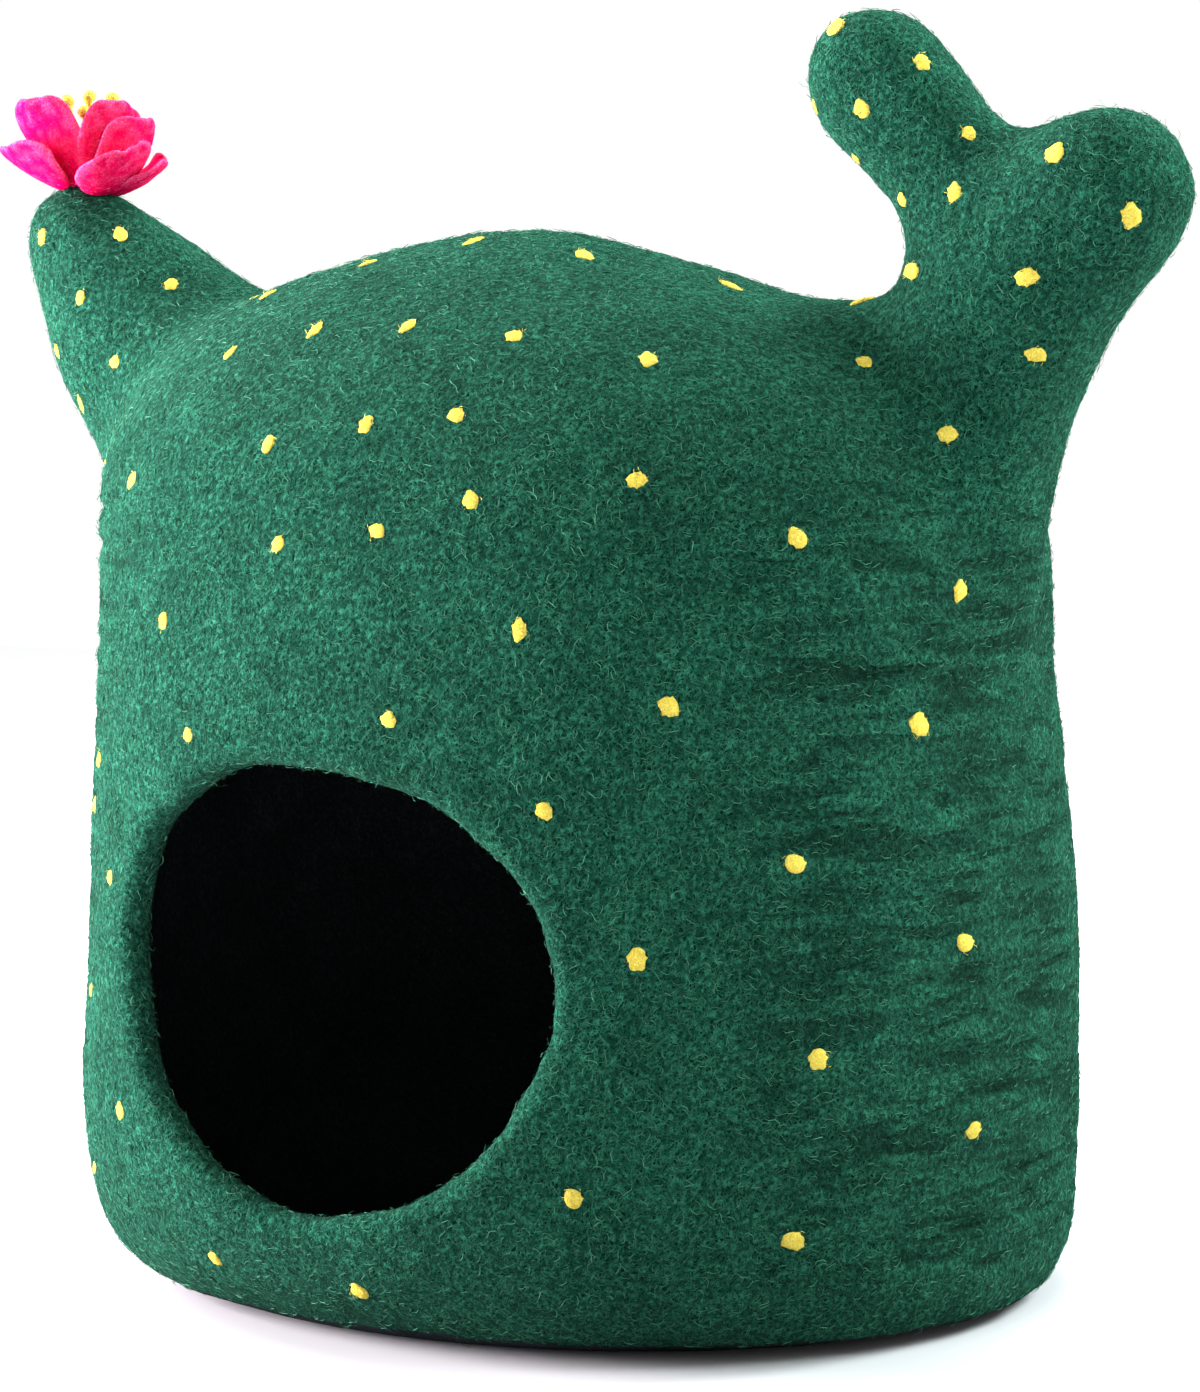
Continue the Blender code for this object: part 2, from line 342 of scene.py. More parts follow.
# Level wrinkles of the sides: one where the troughs are, zero between them.
def levelTroughs(tree):
    place = addNode(tree, "ShaderNodeTexCoord").outputs["Object"]
    troughs = []
    for across, up, begins, deepest in greenWool["wrinkles"]:
        drawn = vectorMaths(tree, "MULTIPLY", place, (across, across, up))
        value = noiseCloud(tree, drawn, 1.0, 1.5, distortion=0.5)
        troughs.append(mapRange(tree, value, begins, deepest))
    return maths(tree, "MULTIPLY", maths(tree, "MAXIMUM", *troughs), readFloat(tree, "side"))


# Green felt is folded in its wrinkles, and has painted shade there and in its creases.
def feltGreen(strands):
    def wrinkledWithPaintedShade(tree, tangle, colour, raised):
        troughs = levelTroughs(tree)
        folded = addNode(tree, "ShaderNodeBump", {
            "Strength": 1.0, "Distance": greenWool["wrinkleDepth"],
            "Height": maths(tree, "SUBTRACT", 1.0, troughs)})
        tree.links.new(folded.outputs[0], raised.inputs["Normal"])
        # painted shade: the colour goes towards the dark wool in the creases and in the wrinkles' troughs
        shade = maths(tree, "MULTIPLY_ADD", readFloat(tree, "crease"), greenWool["creaseShade"],
                      maths(tree, "MULTIPLY", troughs, greenWool["wrinkleShade"]))
        shade = maths(tree, "MINIMUM", shade, greenWool["mostShade"])
        return mixColour(tree, shade, colour, greenWool["dark"])
    return feltMaterial("green_wool", strands, greenWool, own=wrinkledWithPaintedShade,
                        sheen=greenWool["sheen"], sheenTint=greenWool["sheenTint"])


def feltPink(strands):
    def frosted(tree, tangle, colour, raised):
        caught = mapRange(tree, tangle.outputs["Strands"], 0.0, 0.9, 0.15, 1.0)
        return mixColour(tree, maths(tree, "MULTIPLY", readFloat(tree, "frost"), caught), colour,
                         pinkWool["frost"])
    return feltMaterial("pink_wool", strands, pinkWool, size=0.6, bump=0.0003, patchGain=0.25, own=frosted)


# Fibres are each of one tint between two.
def strandMaterial(name, dark, light):
    material, shader = newMaterial(name, dark)
    tree = material.node_tree
    tree.links.new(mixColour(tree, readFloat(tree, "tint"), dark, light), shader.inputs["Base Color"])
    return material


# The felt shell.
body = {
    "voxel": 0.00825, "smoothing": (12, 8), "lastSmoothing": 4,     # how far felting rounds body and arms
    "ringPoints": 48, "limbPoints": 20, "tipRings": 4,
    "wall": 0.009,
    # height, half width (X), half depth (Y), middle x, squareness (2 = ellipse)
    "levels": (
        (-0.012, 0.177, 0.139, 0.008, 2.1),
        (0.000, 0.1845, 0.149, 0.008, 2.1),
        (0.008, 0.1935, 0.165, 0.006, 2.15),
        (0.022, 0.1998, 0.182, 0.004, 2.2),
        (0.045, 0.200, 0.191, 0.001, 2.25),
        (0.080, 0.200, 0.195, 0.000, 2.3),
        (0.140, 0.2003, 0.194, 0.002, 2.2),
        (0.200, 0.1975, 0.190, 0.000, 2.2),
        (0.260, 0.1935, 0.182, -0.003, 2.2),
        (0.310, 0.1975, 0.168, -0.0042, 2.2),
        (0.330, 0.1955, 0.160, -0.0090, 2.2),
        (0.350, 0.1875, 0.150, -0.0130, 2.2),
        (0.380, 0.162, 0.122, -0.018, 2.2),
        (0.397, 0.134, 0.097, -0.026, 2.2),
        (0.411, 0.097, 0.070, -0.030, 2.2),
        (0.422, 0.062, 0.044, -0.030, 2.1),
        (0.430, 0.028, 0.020, -0.025, 2.0),
    ),
    # x, y, z, radius, from the root inside the body to the tip
    "leftArm": ((-0.150, 0.0, 0.302, 0.062), (-0.1625, 0.0, 0.333, 0.0615), (-0.1765, 0.0, 0.3545, 0.0560),
                (-0.2210, 0.0, 0.3966, 0.0437), (-0.2486, 0.0, 0.4297, 0.0292)),
    "leftRoot": ((-0.112, -0.050, 0.332, 0.060), (-0.140, -0.040, 0.343, 0.050),
                 (-0.170, -0.025, 0.362, 0.038), (-0.205, -0.010, 0.390, 0.031)),
    "rightTrunk": ((0.147, 0.0, 0.281, 0.050), (0.165, 0.0, 0.326, 0.043), (0.1785, 0.0, 0.366, 0.0395),
                   (0.1905, 0.0, 0.400, 0.0457), (0.1822, 0.0, 0.424, 0.0345)),
    "innerLobe": ((0.1795, 0.0, 0.431, 0.0255), (0.1600, 0.0, 0.4588, 0.0288),
                  (0.1328, 0.0, 0.4882, 0.0331)),
    "outerLobe": ((0.192, 0.0, 0.405, 0.036), (0.2112, 0.0, 0.4226, 0.0376),
                  (0.2302, 0.0, 0.4419, 0.0386)),
    "shoulder": ((0.030, 0.0, 0.366, 0.038), (0.121, 0.0, 0.365, 0.040)),
    "underside": (0.192, 0.166, 0.006, 0.0062),       # half width and depth, middle x, height of its rim
    "lumps": ((0.045, 0.0011), (0.017, 0.0004)),      # size of the felt's unevenness and its height
    "finerFrom": 0.55, "wrinkleSeed": 4,
    "wrinkles": (0.0090, 0.065, 0.0009, 0.22),        # size upwards and along, depth, share of width
    "creasePoints": 7, "creaseBow": 2.5, "creaseGain": 1.9,         # bow in pixels
    "creaseRidge": (0.40, 2.3, 1.2),                  # its puffed sides: height, distance and width
    # where the sides' wrinkles are: the angles to the X axis and heights between which they fade
    "sideTurn": (22, 50), "sideMiddle": -0.035, "sideBack": 0.9,
    "sideBottom": (0.012, 0.045), "sideTop": (0.30, 0.37),
}
entrance = {
    "middle": (-0.0144, 0.1401),            # X and Z, where the roll of the lip begins
    "halfWidth": 0.1080, "halfHeight": 0.0937,
    "tilt": math.radians(-8.9),             # the long axis sinks towards +X
    "wobble": 0.0025, "wobbleTurn": math.radians(24),
    "ragged": 0.0006,
    "lipRadius": 0.007, "lipRings": 10,
    "snap": 0.0009,                         # points of the wall nearer than this move onto the outline
    "innerMargin": 0.010,
}
# Soft wrinkles on the side that the picture shows: first and last pixel, depth, half width (mm).
creases = (
    (850, 487, 926, 508, 0.7, 2.2), (853, 545, 925, 541, 0.9, 2.2), (880, 570, 943, 574, 1.2, 2.2),
    (975, 582, 1040, 578, 1.0, 2.2), (897, 651, 978, 646, 1.3, 2.4),
    (850, 676, 905, 672, 0.8, 2.2), (930, 690, 1012, 686, 1.0, 2.4),
    (985, 716, 1046, 712, 0.7, 2.2), (942, 778, 1028, 772, 1.4, 2.4),
    (890, 762, 950, 765, 0.7, 2.2), (1000, 800, 1066, 797, 0.8, 2.2),
    (960, 831, 1005, 827, 0.9, 2.2), (905, 846, 965, 842, 0.8, 2.2),
    (1012, 876, 1074, 872, 1.1, 2.4), (935, 905, 1000, 902, 0.7, 2.2),
    (1000, 935, 1072, 930, 0.8, 2.2), (900, 985, 985, 980, 0.7, 2.2),
    (1000, 1000, 1070, 996, 0.8, 2.2), (1005, 1050, 1066, 1044, 1.0, 2.4),
    (925, 1054, 985, 1048, 0.7, 2.2), (944, 1104, 1048, 1080, 1.5, 2.6),
    (905, 1130, 968, 1123, 0.9, 2.2), (985, 1178, 1058, 1160, 1.3, 2.4),
    (1000, 1128, 1066, 1112, 0.9, 2.2), (925, 1235, 1005, 1222, 1.2, 2.4),
    (1020, 1213, 1062, 1192, 1.0, 2.2), (968, 1269, 1012, 1260, 0.9, 2.2),
)


# How far outside the entrance's outline a point of the front lies; below zero is in the opening.
def entranceGap(x, z):
    dx, dz = x - entrance["middle"][0], z - entrance["middle"][1]
    turn = math.atan2(dz, dx)
    a, b = entrance["halfWidth"], entrance["halfHeight"]
    t = turn - entrance["tilt"]
    reach = a * b / math.hypot(b * math.cos(t), a * math.sin(t))
    reach += entrance["wobble"] * math.cos(3 * (turn - entrance["wobbleTurn"]))
    reach += entrance["ragged"] * (math.sin(7 * turn + 1) + 0.7 * math.sin(12 * turn + 2.5))
    return math.hypot(dx, dz) - reach


# The direction in X and Z in which that distance grows.
def gapSlope(x, z, step=0.0005):
    slope = Vector((entranceGap(x + step, z) - entranceGap(x - step, z), 0.0,
                    entranceGap(x, z + step) - entranceGap(x, z - step)))
    return slope.normalized()


def loft(bm, rings):
    made = [[bm.verts.new(point) for point in ring] for ring in rings]
    count = len(made[0])
    for lower, upper in zip(made, made[1:]):
        for i in range(count):
            j = (i + 1) % count
            bm.faces.new((lower[i], lower[j], upper[j], upper[i]))
    for ring in (made[0], made[-1]):
        middle = bm.verts.new(sum((v.co for v in ring), Vector()) / count)
        for i in range(count):
            bm.faces.new((ring[i], ring[(i + 1) % count], middle))


def superellipse(halfWidth, halfDepth, squareness, count):
    points = []
    for i in range(count):
        c, s = math.cos(math.tau * i / count), math.sin(math.tau * i / count)
        points.append((math.copysign(abs(c) ** (2 / squareness), c) * halfWidth,
                       math.copysign(abs(s) ** (2 / squareness), s) * halfDepth))
    return points


def bodyLoft(bm, inset=0.0):
    top = body["levels"][-1][0]
    rings = []
    for height, halfWidth, halfDepth, middleX, squareness in body["levels"]:
        z = height if inset == 0 else inset + max(height, 0.0) / top * (top - 2 * inset)
        flat = superellipse(halfWidth - inset, halfDepth - inset, squareness, body["ringPoints"])
        rings.append([Vector((x + middleX, y, z)) for x, y in flat])
    loft(bm, rings)


def limb(bm, sections):
    centres = [Vector(row[:3]) for row in sections]
    rows = []
    for i, row in enumerate(sections):
        ahead, behind = centres[min(i + 1, len(centres) - 1)], centres[max(i - 1, 0)]
        rows.append((centres[i], (ahead - behind).normalized(), row[3]))
    centre, direction, radius = rows[-1]
    for k in range(1, body["tipRings"] + 1):
        turn = math.radians(85) * k / body["tipRings"]
        rows.append((centre + direction * radius * math.sin(turn), direction, radius * math.cos(turn)))
    depth = Vector((0, 1, 0))
    rings = []
    for centre, direction, radius in rows:
        across = depth.cross(direction).normalized()
        turns = [math.tau * i / body["limbPoints"] for i in range(body["limbPoints"])]
        rings.append([centre + (across * math.cos(a) + depth * math.sin(a)) * radius for a in turns])
    loft(bm, rings)


# Flattens the underside, whose rim curves up a little off the floor.
def restOnFloor(mesh):
    halfWidth, halfDepth, middle, lift = body["underside"]
    for vertex in mesh.vertices:
        share = math.hypot((vertex.co.x - middle) / halfWidth, vertex.co.y / halfDepth)
        vertex.co.z = max(vertex.co.z, lift * float(smoothStep(0.84, 1.02, share)))


# Body and arms as one closed skin, rounded as felting does it.
def outerSkin():
    bm = bmesh.new()
    bodyLoft(bm)
    for part in ("leftArm", "leftRoot", "rightTrunk", "innerLobe", "outerLobe", "shoulder"):
        limb(bm, body[part])
    bmesh.ops.recalc_face_normals(bm, faces=bm.faces)
    form = placeMesh("form", meshFrom(bm, "form"))
    for rounds in body["smoothing"]:
        fuse = form.modifiers.new("fuse", "REMESH")
        fuse.mode, fuse.voxel_size = "VOXEL", body["voxel"]
        relax = form.modifiers.new("relax", "SMOOTH")
        relax.factor, relax.iterations = 0.5, rounds
    coarse = settle(form, "coarse")
    restOnFloor(coarse)
    form = placeMesh("form", coarse)
    fine = form.modifiers.new("fine", "SUBSURF")
    fine.levels = fine.render_levels = 1
    even = form.modifiers.new("even", "SMOOTH")
    even.factor, even.iterations = 0.5, body["lastSmoothing"]
    mesh = settle(form, "felt")
    restOnFloor(mesh)
    return mesh


# 1 on the two sides, where the felt is wrinkled, fading to the front, the back and the arms.
def sideShare(points):
    x, y, z = points.T
    turn = np.degrees(np.arctan2(np.abs(y - body["sideMiddle"]), np.abs(x)))
    turn = np.where(y < body["sideMiddle"], turn, turn * body["sideBack"])
    around = 1 - smoothStep(*body["sideTurn"], turn)
    return around * (smoothStep(*body["sideBottom"], z) * (1 - smoothStep(*body["sideTop"], z)))


def refineSides(mesh):
    bm = bmesh.new()
    bm.from_mesh(mesh)
    centres = np.array([f.calc_center_median() for f in bm.faces])
    wanted = sideShare(centres) > body["finerFrom"]
    bm.faces.index_update()
    edges = [e for e in bm.edges if any(wanted[f.index] for f in e.link_faces)]
    bmesh.ops.subdivide_edges(bm, edges=edges, cuts=1, use_grid_fill=True)
    bm.to_mesh(mesh)
    bm.free()


# The creases as rows of points on the felt; the far side has the same ones, shifted and stretched.
def creaseLines(felt):
    lines = []
    for i, (x0, y0, x1, y1, depth, width) in enumerate(creases):
        line = []
        for k in range(body["creasePoints"]):
            t = k / (body["creasePoints"] - 1)
            bow = body["creaseBow"] * math.sin(math.pi * t) * (1 if i % 2 else -1)
            point, _ = pixelOnFelt(felt, x0 + (x1 - x0) * t, y0 + (y1 - y0) * t + bow)
            if point is not None:
                line.append(point)
        if len(line) < 3:
            continue
        lines.append((line, depth * 0.001, width * 0.001))
        shift = 0.006 + 0.004 * math.sin(2.4 * i)
        far = []
        for p in line:
            there = Vector((-p.x, p.y * 1.25 + 0.012 * math.cos(1.7 * i), p.z + shift))
            far.append(felt.find_nearest(there)[0])
        lines.append((far, depth * 0.001, width * 0.001))
    return lines


def distanceToLine(points, line):
    best = np.full(len(points), 1e9)
    share = np.zeros(len(points))
    count = len(line) - 1
    for k in range(count):
        a, b = np.array(line[k]), np.array(line[k + 1])
        way = b - a
        t = np.clip((points - a) @ way / max(way @ way, 1e-12), 0, 1)
        gap = np.linalg.norm(points - a - t[:, None] * way, axis=1)
        nearer = gap < best
        best = np.where(nearer, gap, best)
        share = np.where(nearer, (k + t) / count, share)
    return best, share


# The uneven surface that felting leaves: lumps all over, wrinkles and creases on the sides. Keeps how deep
# in a crease or wrinkle each point lies, for the wool's density and for the painted shade in its colour.
def relief(mesh, felt):
    points, normals = vectorsOf(mesh.vertices, "co"), vectorsOf(mesh.vertex_normals, "vector")
    rise, hidden = np.zeros(len(points)), np.zeros(len(points))
    for size, height in body["lumps"]:
        rise += height * np.array([noise.noise(Vector(p) / size) for p in points])
    up, along, height, width = body["wrinkles"]
    noise.seed_set(body["wrinkleSeed"])
    side = sideShare(points)
    value = np.array([noise.noise(Vector((x / along, y / along, z / up))
                                  + 0.35 * noise.noise_vector(Vector((x, y, z)) * 60))
                      for x, y, z in points])
    fold = np.clip(1 - np.abs(value) / width, 0, 1) ** 1.5
    rise += height * side * (0.45 - fold)
    # how much painted shade the wrinkles' troughs get
    hidden = np.maximum(hidden, 0.35 * side * fold)
    for line, depth, width in creaseLines(felt):
        middle = np.array(line).mean(0)
        reach = max(np.linalg.norm(np.array(line) - middle, axis=1)) + 5 * width
        near = np.linalg.norm(points - middle, axis=1) < reach
        gap, share = distanceToLine(points[near], line)
        fade = np.sin(np.pi * np.clip(share, 0.0, 1.0)) ** 0.7
        trough = np.exp(-(gap / width) ** 2)
        tall, off, wide = body["creaseRidge"]
        puffed = tall * np.exp(-((gap - off * width) / (wide * width)) ** 2)
        rise[near] += depth * body["creaseGain"] * fade * (puffed - trough)
        # and the painted shade in this crease's trough
        hidden[near] = np.maximum(hidden[near], np.minimum(0.6, depth * 450) * fade * trough ** 2)
    floor = smoothStep(0.0005, 0.006, points[:, 2])
    moved = points + normals * (rise * floor)[:, None]
    mesh.vertices.foreach_set("co", moved.ravel())
    mesh.update()
    storeFloat(mesh, "crease", hidden * floor)
    storeFloat(mesh, "side", side)


# Opens the wall where the gap function is below zero, along an exact smooth edge.
def openWall(bm, gap, snap):
    value = {v: gap(v.co.x, v.co.z) if v.co.y < -0.10 else 1.0 for v in bm.verts}
    for v, g in value.items():
        if abs(g) < snap:
            v.co -= gapSlope(v.co.x, v.co.z) * g
            value[v] = 0.0
    for e in [e for e in bm.edges if value[e.verts[0]] * value[e.verts[1]] < 0]:
        a, b = e.verts
        _, new = bmesh.utils.edge_split(e, a, value[a] / (value[a] - value[b]))
        value[new] = 0.0
    for f in list(bm.faces):
        signs = [value[v] for v in f.verts]
        if min(signs) >= 0 or max(signs) <= 0:
            continue
        n = len(signs)
        ends = []
        for i, g in enumerate(signs):
            if g == 0 and signs[i - 1] != 0:
                k = 1
                while signs[(i + k) % n] == 0:
                    k += 1
                if signs[i - 1] * signs[(i + k) % n] < 0:
                    ends.append(f.verts[i])
        if len(ends) == 2:
            bmesh.utils.face_split(f, ends[0], ends[1])
    gone = [f for f in bm.faces if min(value[v] for v in f.verts) < 0]
    bmesh.ops.delete(bm, geom=gone, context="FACES")
    loose = [v for v in bm.verts if not v.link_faces]
    bmesh.ops.delete(bm, geom=loose, context="VERTS")


# The open edge among the given points, as one row round the opening.
def openLoop(bm, among=None):
    following = {}
    for e in bm.edges:
        a, b = e.verts
        if e.is_boundary and (among is None or a in among):
            following.setdefault(a, []).append(b)
            following.setdefault(b, []).append(a)
    loop = [next(iter(following))]
    loop.append(following[loop[0]][0])
    while True:
        ahead = [v for v in following[loop[-1]] if v != loop[-2]]
        if ahead[0] == loop[0]:
            return loop
        loop.append(ahead[0])


# The rounded lip: rings that roll from the outer face round to the inner one.
def rollLip(bm, loop):
    radius, count = entrance["lipRadius"], entrance["lipRings"]
    starts = []
    for v in loop:
        normal = v.normal.copy()
        inwards = -gapSlope(v.co.x, v.co.z)
        inwards = (inwards - normal * inwards.dot(normal)).normalized()
        starts.append((v.co.copy(), normal, inwards))
    before, faces = loop, []
    for k in range(1, count + 1):
        turn = math.pi * k / count
        ring = []
        for p, normal, inwards in starts:
            roll = normal * (math.cos(turn) - 1) + inwards * math.sin(turn)
            ring.append(bm.verts.new(p + roll * radius))
        for i in range(len(ring)):
            j = (i + 1) % len(ring)
            made = bm.faces.new((before[i], before[j], ring[j], ring[i]))
            made.material_index = 1 if k > count - 2 else 0
            faces.append(made)
        before = ring
    return before


# Joins two closed rings of unlike counts, matched by their angle round the entrance.
def zipRings(bm, first, second, materialIndex):
    x, z = entrance["middle"]

    def byTurn(ring):
        turns = [math.atan2(v.co.z - z, v.co.x - x) for v in ring]
        low = turns.index(min(turns))
        ordered = ring[low:] + ring[:low]
        if math.sin(turns[(low + 1) % len(ring)] - turns[low]) < 0:
            ordered = [ordered[0]] + ordered[:0:-1]
        return ordered, [math.atan2(v.co.z - z, v.co.x - x) for v in ordered]

    (a, turnA), (b, turnB) = byTurn(first), byTurn(second)
    turnA, turnB = turnA + [turnA[0] + math.tau], turnB + [turnB[0] + math.tau]
    i = j = 0
    while i < len(a) or j < len(b):
        if j == len(b) or (i < len(a) and turnA[i + 1] <= turnB[j + 1]):
            corners = (a[i % len(a)], a[(i + 1) % len(a)], b[j % len(b)])
            i += 1
        else:
            corners = (a[i % len(a)], b[(j + 1) % len(b)], b[j % len(b)])
            j += 1
        bm.faces.new(corners).material_index = materialIndex


def innerSkin():
    bm = bmesh.new()
    bodyLoft(bm, inset=body["wall"])
    bmesh.ops.subdivide_edges(bm, edges=bm.edges, cuts=1, use_grid_fill=True)
    openWall(bm, lambda x, z: entranceGap(x, z) - entrance["innerMargin"], 0.0015)
    return meshFrom(bm, "inner")


def feltShell(materials):
    mesh = outerSkin()
    say(f"outer skin, {len(mesh.vertices)} points")
    bm = bmesh.new()
    bm.from_mesh(mesh)
    smooth = BVHTree.FromBMesh(bm)
    bm.free()
    refineSides(mesh)
    relief(mesh, smooth)
    bm = bmesh.new()
    bm.from_mesh(mesh)
    bm.normal_update()
    openWall(bm, entranceGap, entrance["snap"])
    bm.normal_update()
    lipEnd = rollLip(bm, openLoop(bm))
    inner = innerSkin()
    for v in bm.verts:
        v.tag = True
    bm.from_mesh(inner)
    fresh = {v for v in bm.verts if not v.tag}
    for f in bm.faces:
        if f.verts[0] in fresh:
            f.material_index = 1
    zipRings(bm, lipEnd, openLoop(bm, fresh), 1)
    bmesh.ops.recalc_face_normals(bm, faces=bm.faces)
    for f in bm.faces:
        f.smooth = True
        # the underside that faces the floor gets the near-black inside wool: painted shade
        if f.normal.z < -0.35 and f.calc_center_median().z < body["underside"][3] + 0.001:
            f.material_index = 1
    made = placeMesh("felt_body", meshFrom(bm, "felt_body"), *materials)
    # fibres are sparser where the creases have their painted shade
    hidden = np.empty(len(made.data.vertices), np.float32)
    made.data.attributes["crease"].data.foreach_get("value", hidden)
    storeFloat(made.data, "wool", 1 - 0.9 * hidden)
    bpy.data.meshes.remove(inner)
    return made


def searchTree(made):
    bm = bmesh.new()
    bm.from_mesh(made.data)
    tree = BVHTree.FromBMesh(bm)
    bm.free()
    return tree


# Wool fibres, grown on a surface by one node tree.
fibre = {
    "length": 0.0050, "radius": 0.00012,
    "root": -0.05, "arch": 0.055, "tip": 0.02,            # heights along it, as shares of its length
    # how far each kind swings sideways at its two bends and its tip
    "bends": ((0.16, 0.10, -0.12), (-0.20, -0.16, 0.10), (0.26, 0.34, 0.14), (-0.10, 0.16, 0.30),
              (0.30, 0.22, -0.10), (-0.34, -0.40, -0.16), (0.08, -0.22, -0.36)),
    "strayLength": 0.018, "strayRadius": 0.00008, "strayKinds": 5,
    "offFloor": 0.0002,
}


def spindle(name, line, radius):
    bm = bmesh.new()
    rings = []
    for k in range(1, len(line) - 1):
        ahead = (line[k + 1] - line[k - 1]).normalized()
        side = ahead.cross(Vector((0, 0, 1))).normalized()
        up = side.cross(ahead)
        turns = [math.pi / 2 + math.tau * i / 3 for i in range(3)]
        rings.append([bm.verts.new(line[k] + (side * math.cos(a) + up * math.sin(a)) * radius)
                      for a in turns])
    root, tip = bm.verts.new(line[0]), bm.verts.new(line[-1])
    for i in range(3):
        j = (i + 1) % 3
        bm.faces.new((root, rings[0][j], rings[0][i]))
        bm.faces.new((rings[-1][i], rings[-1][j], tip))
        for lower, upper in zip(rings, rings[1:]):
            bm.faces.new((lower[i], lower[j], upper[j], upper[i]))
    bmesh.ops.recalc_face_normals(bm, faces=bm.faces)
    return bpy.data.objects.new(name, meshFrom(bm, name))


# Short fibres that leave the felt, bend and come back to it.
def shortFibres():
    forms = bpy.data.collections.new("shortFibres")
    length, arch = fibre["length"], fibre["arch"]
    for i, (first, second, last) in enumerate(fibre["bends"]):
        shares = ((0.0, 0.0, fibre["root"]), (0.32, first, arch), (0.70, second, arch * 0.9),
                  (0.92, last, fibre["tip"]))
        forms.objects.link(spindle(f"short_{i}", [Vector(p) * length for p in shares], fibre["radius"]))
    return forms


# Long thin ones that wander over it.
def strayFibres():
    forms = bpy.data.collections.new("strayFibres")
    for kind in range(fibre["strayKinds"]):
        line, turn = [Vector((0, 0, -0.0004))], 0.0
        for k in range(9):
            turn += 0.55 * math.sin(1.9 * k + 2.3 * kind) + 0.25 * math.cos(3.1 * k + kind)
            step = Vector((math.cos(turn), math.sin(turn), 0.0)) * fibre["strayLength"] / 9
            line.append(line[-1] + step)
            line[-1].z = 0.0005 + 0.0004 * math.sin(1.3 * k + kind)
        forms.objects.link(spindle(f"stray_{kind}", line, fibre["strayRadius"]))
    return forms


def geometryTree(name, sockets):
    tree = bpy.data.node_groups.new(name, "GeometryNodeTree")
    tree.interface.new_socket(name="Geometry", in_out="INPUT", socket_type="NodeSocketGeometry")
    for label, kind, value in sockets:
        made = tree.interface.new_socket(name=label, in_out="INPUT", socket_type="NodeSocket" + kind)
        if value is not None:
            made.default_value = value
    tree.interface.new_socket(name="Geometry", in_out="OUTPUT", socket_type="NodeSocketGeometry")
    return tree, addNode(tree, "NodeGroupInput").outputs


def randomValue(tree, low, high, seed):
    node = addNode(tree, "FunctionNodeRandomValue", {"Min": low, "Max": high, "Seed": seed},
                   data_type="FLOAT")
    return shown(node.outputs, "Value")


def storedValue(tree, name, kind="FLOAT"):
    node = addNode(tree, "GeometryNodeInputNamedAttribute", {"Name": name}, data_type=kind)
    return shown(node.outputs, "Attribute")


# The rotation that stands Z on the felt and lays X level.
def standOn(tree, normal):
    level = vectorMaths(tree, "CROSS_PRODUCT", (0.0, 0.0, 1.0), normal)
    return addNode(tree, "FunctionNodeAxesToRotation", {0: normal, 1: level},
                   primary_axis="Z", secondary_axis="X").outputs[0]


# The forms on points, each turned to the felt, then made into plain mesh that stays above the floor.
def finishGrowth(tree, given, points, rotation, scale):
    forms = addNode(tree, "GeometryNodeCollectionInfo", {
        "Collection": given["Forms"], "Separate Children": True, "Reset Children": True})
    placed = addNode(tree, "GeometryNodeInstanceOnPoints", {
        "Points": points, "Instance": forms.outputs["Instances"], "Pick Instance": True,
        "Rotation": rotation, "Scale": scale})
    real = addNode(tree, "GeometryNodeRealizeInstances", {0: placed.outputs[0]})
    place = addNode(tree, "GeometryNodeInputPosition").outputs[0]
    apart = addNode(tree, "ShaderNodeSeparateXYZ", {0: place})
    lifted = addNode(tree, "ShaderNodeCombineXYZ", {
        "X": apart.outputs["X"], "Y": apart.outputs["Y"],
        "Z": maths(tree, "MAXIMUM", apart.outputs["Z"], fibre["offFloor"])})
    moved = addNode(tree, "GeometryNodeSetPosition", {
        "Geometry": real.outputs[0], "Position": lifted.outputs[0]})
    painted = addNode(tree, "GeometryNodeSetMaterial", {
        "Geometry": moved.outputs[0], "Material": given["Material"]})
    addNode(tree, "NodeGroupOutput", {"Geometry": painted.outputs[0]})


